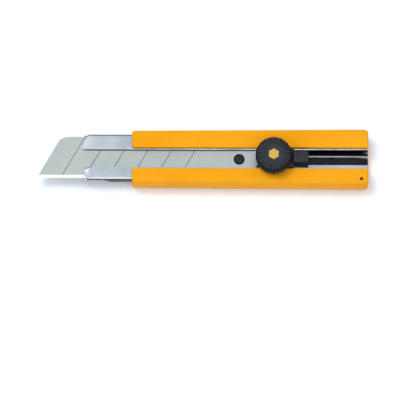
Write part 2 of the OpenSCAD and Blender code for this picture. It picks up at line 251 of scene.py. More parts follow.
def finish_piece(obj, body, materials, replaces, sharp=35):
    """Gives a loose block its looks and its body once its shape is final."""
    faces = obj.data.polygons
    slots = [p.material_index for p in faces]
    obj.data.materials.clear()
    for m in materials:
        obj.data.materials.append(m)
    faces.foreach_set("material_index", slots)
    tidy_normals(obj)
    smooth(obj, sharp)
    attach(obj, body)
    for node in replaces:
        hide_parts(node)
    return obj


def ease(t):
    """A smooth step from 0 to 1, flat at both ends."""
    t = min(1.0, max(0.0, t))
    return t * t * (3 - 2 * t)


def quarter_in(t, r):
    """How far a rounded edge of radius r has drawn in at distance t from its end."""
    if t >= r:
        return 0.0
    return r - math.sqrt(max(0.0, r * r - (r - t) ** 2))


# ---- materials ---------------------------------------------------------------

def srgb(r, g, b):
    """A shader colour from 0-255 display values."""
    def lin(c):
        c /= 255
        return c / 12.92 if c <= 0.04045 else ((c + 0.055) / 1.055) ** 2.4
    return (lin(r), lin(g), lin(b), 1.0)


NOISE_LOW, NOISE_HIGH = 0.3, 0.7  # the span that nearly all of a noise texture lies in


class Surface:
    """A procedural material on one Principled shader, in the object's own metres."""

    def __init__(self, name, **sockets):
        self.mat = bpy.data.materials.new(name)
        self.mat.use_nodes = True
        self.tree = self.mat.node_tree
        self.shader = self.tree.nodes["Principled BSDF"]
        for key, value in sockets.items():
            self.shader.inputs[key.replace("_", " ")].default_value = value
        self.place = self.tree.nodes.new("ShaderNodeTexCoord").outputs["Object"]

    def node(self, kind):
        return self.tree.nodes.new(kind)

    def stretched(self, scale):
        n = self.node("ShaderNodeMapping")
        n.inputs["Scale"].default_value = scale
        self.tree.links.new(self.place, n.inputs["Vector"])
        return n.outputs["Vector"]

    def noise(self, scale, detail=3, rough=0.5, stretch=(1, 1, 1)):
        n = self.node("ShaderNodeTexNoise")
        n.inputs["Scale"].default_value = scale
        n.inputs["Detail"].default_value = detail
        n.inputs["Roughness"].default_value = rough
        self.tree.links.new(self.stretched(stretch), n.inputs["Vector"])
        return n.outputs["Fac"]

    def colours(self, value, dark, light):
        """The colour between dark and light that a noise value stands for."""
        n = self.node("ShaderNodeValToRGB")
        first, last = n.color_ramp.elements
        first.position, first.color = NOISE_LOW, dark
        last.position, last.color = NOISE_HIGH, light
        self.tree.links.new(value, n.inputs["Fac"])
        return n.outputs["Color"]

    def numbers(self, value, low, high):
        """The number between low and high that a noise value stands for."""
        n = self.node("ShaderNodeMapRange")
        spans = {"From Min": NOISE_LOW, "From Max": NOISE_HIGH, "To Min": low, "To Max": high}
        for socket, limit in spans.items():
            n.inputs[socket].default_value = limit
        self.tree.links.new(value, n.inputs["Value"])
        return n.outputs["Result"]

    def to(self, socket, output):
        self.tree.links.new(output, self.shader.inputs[socket])
        return self

    def bump(self, height, distance, strength=1.0):
        """Adds a bump on top of any that the shader already has."""
        n = self.node("ShaderNodeBump")
        n.inputs["Distance"].default_value = distance * MM
        n.inputs["Strength"].default_value = strength
        self.tree.links.new(height, n.inputs["Height"])
        link = self.shader.inputs["Normal"].links
        if link:
            self.tree.links.new(link[0].from_socket, n.inputs["Normal"])
        self.tree.links.new(n.outputs["Normal"], self.shader.inputs["Normal"])
        return self


def moulded(name, light, dark, roughness, grain, depth, specular=0.35):
    """Moulded plastic or rubber: faint flow of colour, fine grain and uneven gloss."""
    s = Surface(name, Specular_IOR_Level=specular)
    s.to("Base Color", s.colours(s.noise(60, 4, 0.6, (0.4, 1, 1)), dark, light))
    s.to("Roughness", s.numbers(s.noise(900, 3), roughness - 0.06, roughness + 0.06))
    s.bump(s.noise(grain, 2, 0.6), depth, 0.6)
    s.bump(s.noise(45, 2, 0.4), 0.06, 0.25)
    return s


def metal(name, light, dark, roughness, stretch, scale, depth, metallic=1.0):
    """Rolled or ground metal: streaks along the axis with the smallest stretch."""
    s = Surface(name, Metallic=metallic)
    streaks = s.noise(scale, 6, 0.65, stretch)
    s.to("Base Color", s.colours(s.noise(35, 4, 0.6), dark, light))
    s.to("Roughness", s.numbers(streaks, roughness - 0.07, roughness + 0.09))
    s.bump(streaks, depth, 0.5)
    return s


def make_materials():
    """Every look, by a short key; colours are display values."""
    m = {}
    m["yellow"] = moulded("yellow_plastic", srgb(243, 169, 31), srgb(237, 157, 20), 0.5,
                          2600, 0.012, specular=0.04)
    m["rubber"] = moulded("black_rubber", srgb(47, 50, 52), srgb(36, 39, 41), 0.58, 3200, 0.03)
    # Painted shade: near-black rubber for the grip's grooves and for the wheel's notches and rim
    m["groove"] = moulded("groove_shade_rubber", srgb(14, 14, 15), srgb(9, 9, 10), 0.7, 3200, 0.03)
    m["black"] = moulded("black_nylon", srgb(22, 23, 29), srgb(15, 16, 21), 0.36,
                         2400, 0.015, specular=0.2)
    m["wheel"] = moulded("blue_black_nylon", srgb(45, 50, 60), srgb(35, 39, 48), 0.34, 2400, 0.015)
    # Painted highlight on the tops of the wheel's ribs
    m["ridge"] = moulded("rib_highlight_nylon", srgb(72, 78, 88), srgb(58, 63, 72), 0.3, 2400, 0.015)
    m["slider"] = moulded("slider_nylon", srgb(40, 42, 50), srgb(30, 32, 39), 0.36, 2400, 0.015)
    m["badge"] = moulded("badge_black", srgb(22, 22, 24), srgb(16, 16, 18), 0.3, 1500, 0.005)
    m["print"] = moulded("badge_yellow", srgb(248, 206, 30), srgb(242, 196, 22), 0.4, 1500, 0.004)
    m["channel"] = metal("stainless_sheet", srgb(204, 212, 217), srgb(162, 176, 186), 0.3,
                         (0.06, 1, 1), 1500, 0.004)
    # Painted shade: dark steel for the channel's sides and steep slopes, standing in for the dark
    # they mirror
    m["wall"] = metal("painted_dark_side", srgb(46, 49, 54), srgb(34, 37, 42), 0.34,
                      (0.06, 1, 1), 1500, 0.004)
    # Painted shade on the inside of the channel's plate
    m["inside"] = metal("stainless_painted_shade", srgb(46, 46, 52), srgb(36, 36, 42), 0.24,
                        (0.06, 1, 1), 1500, 0.004)
    # Painted shadow: near-black on the upper lip's inner edge and the nose's cut edges, for the
    # shadow gap there
    m["cut"] = metal("painted_shadow_edge", srgb(14, 14, 16), srgb(8, 8, 10), 0.6,
                     (0.3, 1, 1), 1500, 0.004, metallic=0.2)
    m["blade"] = metal("blade_steel", srgb(193, 200, 197), srgb(183, 192, 190), 0.36,
                       (0.08, 1, 1), 2200, 0.003)
    # Painted highlight: near-white on the blade's ground band, which is real, and on the lower
    # lip's bend
    m["edge"] = metal("painted_highlight_edge", srgb(252, 253, 250), srgb(246, 248, 245), 0.4,
                      (1, 0.06, 1), 3000, 0.003, metallic=0.3)
    # Painted shade in the blade's snap lines
    m["score"] = metal("score_line_shade", srgb(96, 100, 104), srgb(84, 88, 92), 0.5,
                       (0.3, 1, 1), 1500, 0.003)
    m["zinc"] = metal("zinc_plate", srgb(196, 199, 203), srgb(182, 186, 190), 0.34,
                      (0.3, 1, 1), 1200, 0.004)
    m["spring"] = metal("spring_steel", srgb(170, 172, 176), srgb(150, 152, 156), 0.3,
                        (0.3, 1, 1), 1200, 0.004)
    m["brass"] = metal("turned_brass", srgb(238, 192, 84), srgb(226, 180, 72), 0.3,
                       (1, 1, 0.2), 1800, 0.004)
    m["pale_brass"] = metal("pale_brass", srgb(252, 224, 150), srgb(242, 210, 132), 0.3,
                            (1, 1, 0.2), 1800, 0.004)
    return {key: s.mat for key, s in m.items()}


# ---- handle ------------------------------------------------------------------

TAPER = 1.0  # how far each side draws in from the rear end to the front end
FIT = 0.05  # gap between the handle and the channel
FRONT_CORNER, REAR_CORNER = 1.8, 2.6  # roundings of the sides where they meet the ends
FACE_EDGE, BACK_EDGE = 1.1, 2.6  # roundings of the end edges; the larger is under the front
SLOT_FLARE, MOUTH_EDGE = 0.9, 0.2  # roundings of the slot's rear end and of the channel's mouths
RAIL_ROUND, RAIL_LIP = 2.1, 0.75  # roundings along the outer edges and along the slot
SKIP = 0.06  # corners are read this far in, so that the end rings aren't pinched
LOOP_X, LOOP_Y = HANDLE_HIGH.x - 4.1, -13.4  # the lanyard hole
LOOP_R, LOOP_POST_R = 1.0, 2.5


def handle_ring(x):
    """Cross-section of the handle at x: a tray with two rails over the channel."""
    front, rear = x - HANDLE_LOW.x, HANDLE_HIGH.x - x
    t = min(front, rear)
    at_front = front < rear
    side = quarter_in(t + SKIP, FRONT_CORNER if at_front else REAR_CORNER)
    face = quarter_in(t, FACE_EDGE)
    foot = quarter_in(t, BACK_EDGE if at_front else FACE_EDGE)
    slot = quarter_in(t + SKIP, FRONT_CORNER) if at_front else quarter_in(t, SLOT_FLARE)
    gap = FIT + quarter_in(t, MOUTH_EDGE)
    half = HANDLE_HIGH.y - side - TAPER * rear / (HANDLE_HIGH.x - HANDLE_LOW.x)
    top, back = HANDLE_HIGH.z - face, HANDLE_LOW.z + foot
    slot_low, slot_high = SLOT_Y - SLOT_HALF - slot, SLOT_Y + SLOT_HALF + slot
    low, high = CHANNEL_LOW.y - gap, CHANNEL_HIGH.y + gap
    floor, shelf = PLATE_Z - gap, LIP_Z + gap
    corners = [(slot_high, top, RAIL_LIP), (half, top, RAIL_ROUND), (half, back, RAIL_ROUND),
               (-half, back, RAIL_ROUND), (-half, top, RAIL_ROUND), (slot_low, top, RAIL_LIP),
               (slot_low, shelf, 0.2), (low, shelf, 0.05), (low, floor, 0.2), (high, floor, 0.2),
               (high, shelf, 0.05), (slot_high, shelf, 0.2)]
    return [(x, y, z) for y, z in fillet(corners, 6)]


def handle_stations():
    """Places of the cross-sections, close together at both ends."""
    ends = [REAR_CORNER * (1 - math.cos(math.radians(a))) for a in range(0, 91, 9)]
    first = [HANDLE_LOW.x + t for t in ends]
    last = [HANDLE_HIGH.x - t for t in reversed(ends)]
    middle = [first[-1] + (last[0] - first[-1]) * k / 12 for k in range(1, 12)]
    return first + middle + last


def make_handle(mats):
    """The moulded handle, with the grip's pocket, the badge's seat and the lanyard hole."""
    verts, faces = loft([handle_ring(x) for x in handle_stations()])
    body = build("handle_shell", verts, faces, None, [])
    post = cylinder("post", LOOP_X, LOOP_Y, LOOP_POST_R, PLATE_Z - 1, LIP_Z + 1)
    combine(body, post, "UNION")
    x0, x1, y0, y1 = GRIP_LOW.x, GRIP_HIGH.x, GRIP_LOW.y, GRIP_HIGH.y
    pocket = fillet([(x0, y0, GRIP_CORNER), (x1, y0, GRIP_CORNER), (x1, y1, GRIP_CORNER),
                     (x0, y1, GRIP_CORNER)], 10)
    combine(body, prism("pocket", pocket, -2, GRIP_BACK + 0.1, steps=1), "DIFFERENCE")
    seat = cylinder("seat", BADGE_X, BADGE_Y, BADGE_R + 0.02, -2, BADGE_HIGH.z + 0.01, 96)
    combine(body, seat, "DIFFERENCE")
    combine(body, cylinder("hole", LOOP_X, LOOP_Y, LOOP_R, -2, 30, 32), "DIFFERENCE")
    return finish_piece(body, "handle", [mats["yellow"]], ["handle_body"], 30)


# ---- grip --------------------------------------------------------------------

PAD_COUNT = 9
PAD_PITCH = 11.7
PAD_EDGE, PAD_CROWN = 0.5, 0.25  # rounding of a cushion's long edges, and its height mid-way
GRIP_CORNER = 3.3
GRIP_BACK = HANDLE_LOW.z + 2.3  # level of the face that is let into the handle
GROOVE_TOP = 0.8  # faces deeper than this take the painted shade of the grooves
# (distance from the groove's middle, depth) down one side of a double groove
GROOVE = [(0, 0.35), (0.2, 0.35), (0.3, 0.6), (0.36, 1.15), (0.8, 1.15), (0.86, 0.6),
          (1.0, 0.2), (1.25, 0.05), (1.7, 0.0)]


def groove_depth(u):
    """Depth of the grip's surface at distance u from the middle of a double groove."""
    for (u0, d0), (u1, d1) in zip(GROOVE, GROOVE[1:]):
        if u <= u1:
            return d0 + (d1 - d0) * (u - u0) / (u1 - u0)
    return 0.0


def grip_stations():
    """Places of the cross-sections: at the ends, at each groove and between them."""
    xs = set()
    for k in range(0, 91, 9):
        t = GRIP_CORNER * (1 - math.cos(math.radians(k)))
        xs.update((GRIP_LOW.x + t, GRIP_HIGH.x - t))
    for i in range(1, PAD_COUNT):
        middle = GRIP_HIGH.x - i * PAD_PITCH
        for u, _ in GROOVE:
            xs.update((middle - u, middle + u))
    for i in range(PAD_COUNT):
        for k in range(3, 7):
            xs.add(GRIP_HIGH.x - (i + k / 8) * PAD_PITCH)
    return sorted(xs)


def grip_ring(x):
    """Cross-section of the rubber at x, open towards the handle."""
    end = min(x - GRIP_LOW.x, GRIP_HIGH.x - x)
    i = round((GRIP_HIGH.x - x) / PAD_PITCH)
    u = abs(GRIP_HIGH.x - x - i * PAD_PITCH) if 0 < i < PAD_COUNT else PAD_PITCH
    depth = groove_depth(u) + quarter_in(end, PAD_EDGE)
    half = (GRIP_HIGH.y - GRIP_LOW.y) / 2 - quarter_in(end + 0.02, GRIP_CORNER)
    half -= 0.35 * min(depth, 1.15)
    middle = (GRIP_HIGH.y + GRIP_LOW.y) / 2
    edge = []
    for k in range(7):
        f = math.pi / 2 * k / 6
        drop = min(GRIP_BACK, depth + PAD_CROWN + PAD_EDGE * (1 - math.sin(f)))
        edge.append((half - PAD_EDGE * (1 - math.cos(f)), drop))
    ring = [(x, middle + half, GRIP_BACK)] + [(x, middle + y, z) for y, z in edge]
    flat = half - PAD_EDGE
    for k in range(1, 16):
        y = flat * (1 - 2 * k / 16)
        ring.append((x, middle + y, depth + PAD_CROWN * (y / flat) ** 2))
    ring += [(x, middle - y, z) for y, z in reversed(edge)]
    ring.append((x, middle - half, GRIP_BACK))
    return ring


def make_grip(mats):
    """The ribbed rubber, with painted shade in its grooves."""
    verts, faces = loft([grip_ring(x) for x in grip_stations()])
    grip = build("rubber_grip", verts, faces, "handle",
                 [mats["rubber"], mats["groove"]], ["grip_pad"], 55)
    for p in grip.data.polygons:
        # painted shade: the faces deep in the grooves take the near-black rubber
        p.material_index = int(p.center.z > GROOVE_TOP * MM)
    return grip


def make_badge(mats):
    """The back disc, with a plain ring and three slanted bars printed on its sunk middle."""
    x, y, r = BADGE_X, BADGE_Y, BADGE_R
    z0, z1 = BADGE_LOW.z, BADGE_HIGH.z
    sunk, ink = z0 + 0.06, (z0 + 0.01, z0 + 0.07)
    profile = [(0.001, sunk), (r - 0.9, sunk), (r - 0.7, z0), (r - 0.25, z0),
               (r, z0 + 0.2), (r, z1), (0.001, z1)]
    verts, faces = lathe(profile, (x, y), 96)
    build("badge_disc", verts, faces, "handle", mats["badge"], ["back_badge"])
    inner, outer = r - 1.75, r - 1.35
    ring = [(inner, ink[0]), (outer, ink[0]), (outer, ink[1]), (inner, ink[1])]
    verts, faces = lathe(ring, (x, y), 96)
    build("badge_ring", verts, faces, "handle", mats["print"])
    lean, half, tall, pitch = 1.0, 0.85, 2.2, 2.5
    for k in (-1, 0, 1):
        middle = x + pitch * k
        outline = [(middle - half - lean, y - tall), (middle + half - lean, y - tall),
                   (middle + half + lean, y + tall), (middle - half + lean, y + tall)]
        bar = prism(f"badge_bar_{k + 2}", outline, *ink, steps=1)
        finish_piece(bar, "handle", [mats["print"]], [])


# ---- blade channel -----------------------------------------------------------

NOSE_X = CHANNEL_LOW.x
CORNER_X = NOSE_X + 6.8  # where the nose's slanted edges meet the side walls
NOSE_BLUNT, NOSE_FLAT, NOSE_ROUND = 2.0, 0.6, 0.9  # how the nose's point is rounded off
NOSE_START = HANDLE_LOW.x - 4.0  # the close rows of points begin here
BEND_R = 1.3  # outer radius of the bends along the sheet
NOTCH_X, NOTCH_Y = HANDLE_HIGH.x - 6.9, -10.5  # rear corner cut away for the lanyard's post
RAMP_REAR = HANDLE_LOW.x - 11.9  # the plate steps up between these two
RAMP_FRONT = HANDLE_LOW.x - 17.8
RIM_STEP, RIM_BLEND = 4.55, 0.9  # height of the rim round the pocket, and its slope's width
POCKET_HALF, POCKET_BLUNT = 8.0, 1.2  # half widths of the arrow-shaped pocket and of its tip
POCKET_SHOULDER = HANDLE_LOW.x - 25.8
POCKET_TIP = HANDLE_LOW.x - 31.5
BEAD_Y, BEAD_HALF, BEAD_H = 3.0, 2.1, 1.2  # long bead pressed into the plate
BEAD_END, BEAD_RUN = HANDLE_LOW.x - 6.6, 2.2
STRIP_Y = -2.9  # below this line the inside of the plate has no painted shade and is as bright as the outside
COIN_L, COIN_DROP = 3.6, 0.55  # length and depth of the slope at a lip's front end
# Width of the upper lip's slope, its depth in the handle and in the nose, and the turned edge
HEM_W, HEM_DROP, HEM_FLAT, HEM_CUT = 1.7, 0.24, 0.08, 0.7
UNDER = 9.0  # the plate and its bead lie lower than this, the top of the rim above it
PLATE_COLUMNS, NOSE_ROWS = 110, 96  # how finely the plate and the nose are divided
# Distances of the points on each lip from its inner edge
LOWER_COLUMNS = (0, 0.1, 0.3, 0.6, 1.0, 1.6, 2.3, 3.1, 4.5)
UPPER_COLUMNS = (0, 0.45, 0.75, 1.05, 1.35, 1.65, 2.2, 4.0, 6.0)
# Each lip's front: X of the slant's outer end, its lean, the inner corner's radius and reach
UPPER_FRONT = (HANDLE_LOW.x - 26.2, 0.4, 1.8, 2.5)
LOWER_FRONT = (HANDLE_LOW.x - 26.7, 0.44, 3.4, 3.4)
SHADOW_EDGE, SHADED_SIDE, BEND_HIGHLIGHT = 2, 3, 4  # material numbers on the channel, after the outside and the inside with its painted shade: painted shadow at cut edges, painted shade on the sides, painted highlight on the bend


def pocket_distance(x, y):
    """Distance outside the pocket's arrow outline, negative inside it."""
    y = abs(y - CHANNEL_Y)
    slope = Vector((POCKET_SHOULDER - POCKET_TIP, POCKET_HALF - POCKET_BLUNT)).normalized()
    slant = Vector((x - POCKET_TIP, y - POCKET_BLUNT)).dot(Vector((-slope.y, slope.x)))
    return max(y - POCKET_HALF, slant, POCKET_TIP - x)


def plate_rise(x, y):
    """How far the channel's plate stands in from its outermost level at x, y."""
    ramp = ease((RAMP_REAR - x) / (RAMP_REAR - RAMP_FRONT))
    rim = RIM_STEP * ramp * ease((pocket_distance(x, y) + 0.1) / RIM_BLEND)
    across = min(1.0, abs(y - BEAD_Y) / BEAD_HALF)
    bead = BEAD_H * (1 - ease((across - 0.35) / 0.4)) * ease((x - BEAD_END) / BEAD_RUN)
    return rim + bead


def nose_edge(y):
    """X of the nose's cut edge on the plate, at y."""
    y = abs(y - CHANNEL_Y)
    half = (CHANNEL_HIGH.y - CHANNEL_LOW.y) / 2
    if y >= half:
        return CORNER_X
    slope = (CORNER_X - NOSE_X) / (half - NOSE_BLUNT)
    reach = math.hypot(max(0.0, y - NOSE_FLAT), NOSE_ROUND)
    return NOSE_X + slope * reach - slope * NOSE_ROUND


def lip_edge(y):
    """X of a lip's slanted front edge, whose inner corner is rounded, at y."""
    if y > SLOT_Y:
        from_inner, from_outer = abs(y - SLOT_Y - LIP_HALF), CHANNEL_HIGH.y - y
        start, lean, r, reach = UPPER_FRONT
    else:
        from_inner, from_outer = abs(y - SLOT_Y + LIP_HALF), y - CHANNEL_LOW.y
        start, lean, r, reach = LOWER_FRONT
    return start - from_outer * lean + quarter_in(from_inner, r) * reach / r


def channel_profile():
    """One line of (kind, y, z or share down the wall) across the sheet, lip to lip."""
    low, high = CHANNEL_LOW.y, CHANNEL_HIGH.y
    line = []

    def bend(y, z, start, side):
        for k in range(7):
            a = math.radians(start + side * 15 * k)
            line.append(("side", y + BEND_R * math.cos(a), z + BEND_R * math.sin(a)))

    for d in LOWER_COLUMNS:
        line.append(("lip", SLOT_Y - LIP_HALF - d, LIP_Z))
    bend(low + BEND_R, LIP_Z - BEND_R, 90, 1)
    for k in range(1, 5):
        line.append(("wall", low, k / 5))
    line.append(("foot", low, 0))
    for k in range(1, 7):
        line.append(("arc_low", low, k / 6))
    plate_low, plate_high = low + BEND_R, high - BEND_R
    for k in range(1, PLATE_COLUMNS):
        line.append(("plate", plate_low + (plate_high - plate_low) * k / PLATE_COLUMNS, 0))
    for k in range(6, 0, -1):
        line.append(("arc_high", high, k / 6))
    line.append(("foot", high, 0))
    for k in range(4, 0, -1):
        line.append(("wall", high, k / 5))
    bend(high - BEND_R, LIP_Z - BEND_R, 0, 1)
    for d in reversed(UPPER_COLUMNS):
        line.append(("lip", SLOT_Y + LIP_HALF + d, LIP_Z))
    return line


def channel_point(entry, u, x_rear):
    """Place on the sheet's outer face: u from 0 at the rear to 1 at the cut front edge."""
    kind, a, b = entry
    low, high = CHANNEL_LOW.y, CHANNEL_HIGH.y
    side_y = low if a < CHANNEL_Y else high
    inward = 1 if side_y == low else -1
    lip_x = lip_edge(side_y)
    top = LIP_Z - BEND_R
    if kind == "lip":
        return (x_rear + (lip_edge(a) - x_rear) * u, a, b)
    if kind == "side":
        return (x_rear + (lip_x - x_rear) * u, a, b)
    if kind in ("wall", "foot"):
        share = b if kind == "wall" else 1.0
        edge = lip_x + (CORNER_X - lip_x) * share
        x = x_rear + (edge - x_rear) * u
        foot = PLATE_Z + plate_rise(x, side_y) + BEND_R
        return (x, side_y, top + (foot - top) * share)
    if kind in ("arc_low", "arc_high"):
        angle = math.pi / 2 * b
        x = x_rear + (CORNER_X - x_rear) * u
        y = side_y + inward * BEND_R * (1 - math.cos(angle))
        z = PLATE_Z + plate_rise(x, y) + BEND_R * (1 - math.sin(angle))
        return (x, y, z)
    x = x_rear + (nose_edge(a) - x_rear) * u
    return (x, a, PLATE_Z + plate_rise(x, a))


def make_channel(mats):
    """The folded sheet: a few rows of points in the handle and close rows in the nose."""
    line = channel_profile()
    front = HANDLE_LOW.x + 0.3
    inside = [NOTCH_X + (front - NOTCH_X) * k / 10 for k in range(11)]
    rows = [[channel_point(entry, 0, x) for entry in line] for x in [CHANNEL_HIGH.x] + inside]
    for k in range(NOSE_ROWS + 1):
        rows.append([channel_point(entry, k / NOSE_ROWS, NOSE_START) for entry in line])
    count = len(line)
    verts = [p for row in rows for p in row]
    faces = [(i * count + j, i * count + j + 1, (i + 1) * count + j + 1, (i + 1) * count + j)
             for i in range(len(rows) - 1) for j in range(count - 1)
             if i > 0 or line[j][1] > NOTCH_Y]
    sheet = build("channel_sheet", verts, faces, None, [])
    mod = sheet.modifiers.new("thickness", "SOLIDIFY")
    mod.thickness = SHEET * MM
    mod.offset = -1 if sheet_faces_out(sheet) else 1
    mod.use_even_offset = False
    # the inner faces take the inside's painted shade
    mod.material_offset = 1
    sheet.data.materials.append(mats["channel"])
    sheet.data.materials.append(mats["inside"])
    apply_modifiers(sheet)
    coin_lips(sheet)
    round_edges(sheet, 0.14, 2, 60)
    shade_channel(sheet)
    looks = [mats[key] for key in ("channel", "inside", "cut", "wall", "edge")]
    return finish_piece(sheet, "handle", looks, ["blade_channel"], 40)


def coin_lips(sheet):
    """Slopes the tops of the lips down at their front ends and along the upper lip's edge."""
    for v in sheet.data.vertices:
        x, y, z = v.co / MM
        if z < LIP_Z - 0.3:
            continue
        reach = max(0.0, x - lip_edge(y))
        edge = y - SLOT_Y - LIP_HALF
        drop = 0.0
        if reach < COIN_L:
            depth = COIN_DROP if y < SLOT_Y else COIN_DROP / 3
            drop = depth * (1 - reach / COIN_L) ** 1.5
        if -0.1 < edge < HEM_W:
            covered = ease((x - NOSE_START) / (HANDLE_LOW.x - NOSE_START))
            depth = HEM_FLAT + (HEM_DROP - HEM_FLAT) * covered
            drop += HEM_CUT if edge < 0.1 else depth * (HEM_W - edge) / HEM_W
        v.co.z -= drop * MM


def shade_channel(sheet):
    """Sorts the sheet's faces into bright sheet, painted shade inside, painted shadow at the cut
    edges, painted shade on the sides and a painted highlight on the lower lip's bend ahead of the
    handle.
    """
    for p in sheet.data.polygons:
        x, y, z = p.center / MM
        across, up = p.normal.y, p.normal.z
        low, outside, ahead = z < UNDER, p.material_index == 0, x < HANDLE_LOW.x
        shoulder = low and abs(y - BEAD_Y) < BEAD_HALF and abs(across) > 0.3
        strip = low and y < STRIP_Y
        # painted shadow: the upper lip's inner edge and the nose's cut edges go near-black
        lip_shadow = abs(y - SLOT_Y - LIP_HALF) < 0.3 and across < -0.15
        nose_shadow = low and x < POCKET_TIP and abs(up) < 0.4
        # painted highlight: the lower lip's bend ahead of the handle goes near-white
        bend = y < SLOT_Y and z > LIP_Z - BEND_R and up > 0 and -0.7 < across < -0.3
        if lip_shadow or nose_shadow:
            p.material_index = SHADOW_EDGE
        elif outside and ahead and bend:
            p.material_index = BEND_HIGHLIGHT
        # painted shade: the outside's sides and steep slopes go dark
        elif outside and (abs(across) > 0.5 or low and abs(up) < 0.5):
            p.material_index = SHADED_SIDE
        else:
            # painted shade: the inside of the plate goes dark, but for the bead's shoulders and
            # the strip by the lower lip
            p.material_index = int(not outside and not ahead and not shoulder and not strip)


def sheet_faces_out(obj):
    """Whether the plate's faces look down, away from the inside of the channel."""
    down = sum(p.normal.z * p.area for p in obj.data.polygons
               if p.center.z < (PLATE_Z + 0.01) * MM)
    return down < 0


# ---- blade -------------------------------------------------------------------

SNAP_PITCH = 14.0
SNAP_LINES = 6
SCORE_DIP = 0.22  # depth of a snap line
EDGE_LENGTH = 126.0  # the whole cutting edge, nine pitches
BEVEL = 1.8  # width of the ground band along the cutting edge
RUN = 1 / math.tan(math.radians(60))  # a snap line's run in X for each mm across the blade
TIP_L, TIP_CUT = 2.7, 1.7  # the spine's blunted front corner, along and across
STUD_HOLE_R = 3.3


def blade_ring(s, dip=0.0):
    """Slanted section of the blade that meets the cutting edge at s; dip sinks the front."""
    low, high = BLADE_LOW.y, BLADE_HIGH.y
    back, front = BLADE_LOW.z, BLADE_HIGH.z
    cut = TIP_CUT * max(0.0, 1 - (s - BLADE_LOW.x) / TIP_L)
    middle = (back + front) / 2
    points = [(low, middle - 0.03), (low, middle + 0.03 - dip * 0.1),
              (low + BEVEL, front - dip), (high - cut - 0.05, front - dip),
              (high - cut, front - 0.05 - dip), (high - cut, back + 0.05),
              (high - cut - 0.05, back), (low + BEVEL, back)]
    return [(s + (y - low) * RUN, y, z) for y, z in points]


def make_blade(mats):
    """The slanted strip with its ground edge, snap lines and stud hole."""
    rings = [blade_ring(BLADE_LOW.x), blade_ring(BLADE_LOW.x + TIP_L)]
    for i in range(1, SNAP_LINES + 1):
        s = BLADE_LOW.x + i * SNAP_PITCH
        for offset, dip in ((-0.26, 0), (-0.16, SCORE_DIP), (0.0, SCORE_DIP), (0.26, 0)):
            rings.append(blade_ring(s + offset, dip))
    rings.append(blade_ring(BLADE_LOW.x + EDGE_LENGTH))
    verts, faces = loft(rings)
    blade = build("blade_strip", verts, faces, None, [])
    hole = ((PIN_LOW + PIN_HIGH) / 2).xy
    combine(blade, cylinder("hole", hole.x, hole.y, STUD_HOLE_R, 5, 15, 64), "DIFFERENCE")
    looks = [mats[key] for key in ("blade", "edge", "score")]
    finish_piece(blade, "carriage", looks, ["blade"], 4)
    for p in blade.data.polygons:
        scored = p.normal.z < 0.93 and p.center.z > (BLADE_HIGH.z - 0.28) * MM
        in_hole = (p.center.xy / MM - hole).length < STUD_HOLE_R + 0.1
        # painted shade: the walls of the snap lines take the dark grey
        if scored and abs(p.normal.x) > 0.2 and p.center.y > (BLADE_LOW.y + BEVEL) * MM:
            p.material_index = 0 if in_hole else 2
        # painted highlight: the ground band's faces take the near-white edge
        elif p.center.y < (BLADE_LOW.y + BEVEL) * MM and 0.1 < abs(p.normal.z) < 0.995:
            p.material_index = 1
    return blade


def make_pin(mats):
    """The stud that carries the blade, with a paler ring painted in its dished head as a
    highlight.
    """
    x, y = (PIN_LOW.x + PIN_HIGH.x) / 2, (PIN_LOW.y + PIN_HIGH.y) / 2
    top, foot = PIN_HIGH.z, PIN_LOW.z
    seat = BLADE_LOW.z - 0.05
    shank, head = 1.95, 3.2
    ring_in, ring_out = 1.05, 1.95
    profile = [(0.001, foot), (shank, foot), (shank, seat), (head, seat), (head, top - 0.3),
               (head - 0.1, top - 0.09), (2.9, top), (2.5, top - 0.02), (2.3, top - 0.2),
               (1.9, top - 0.2), (1.7, top - 0.08), (1.25, top - 0.04), (ring_in, top - 0.12),
               (0.95, top - 0.4), (0.001, top - 0.42)]
    verts, faces = lathe(profile, (x, y), 64)
    stud = build("blade_stud", verts, faces, "carriage",
                 [mats["black"], mats["wheel"]], ["blade_pin"], 40)
    # painted highlight: a paler ring of the blue-black nylon in the dished head
    for p in stud.data.polygons:
        r = (p.center.xy / MM - Vector((x, y))).length
        p.material_index = int(ring_in < r < ring_out and p.center.z > (top - 0.3) * MM)
    return stud


# ---- slider ------------------------------------------------------------------

BORE_R = 2.06  # for the lock stud


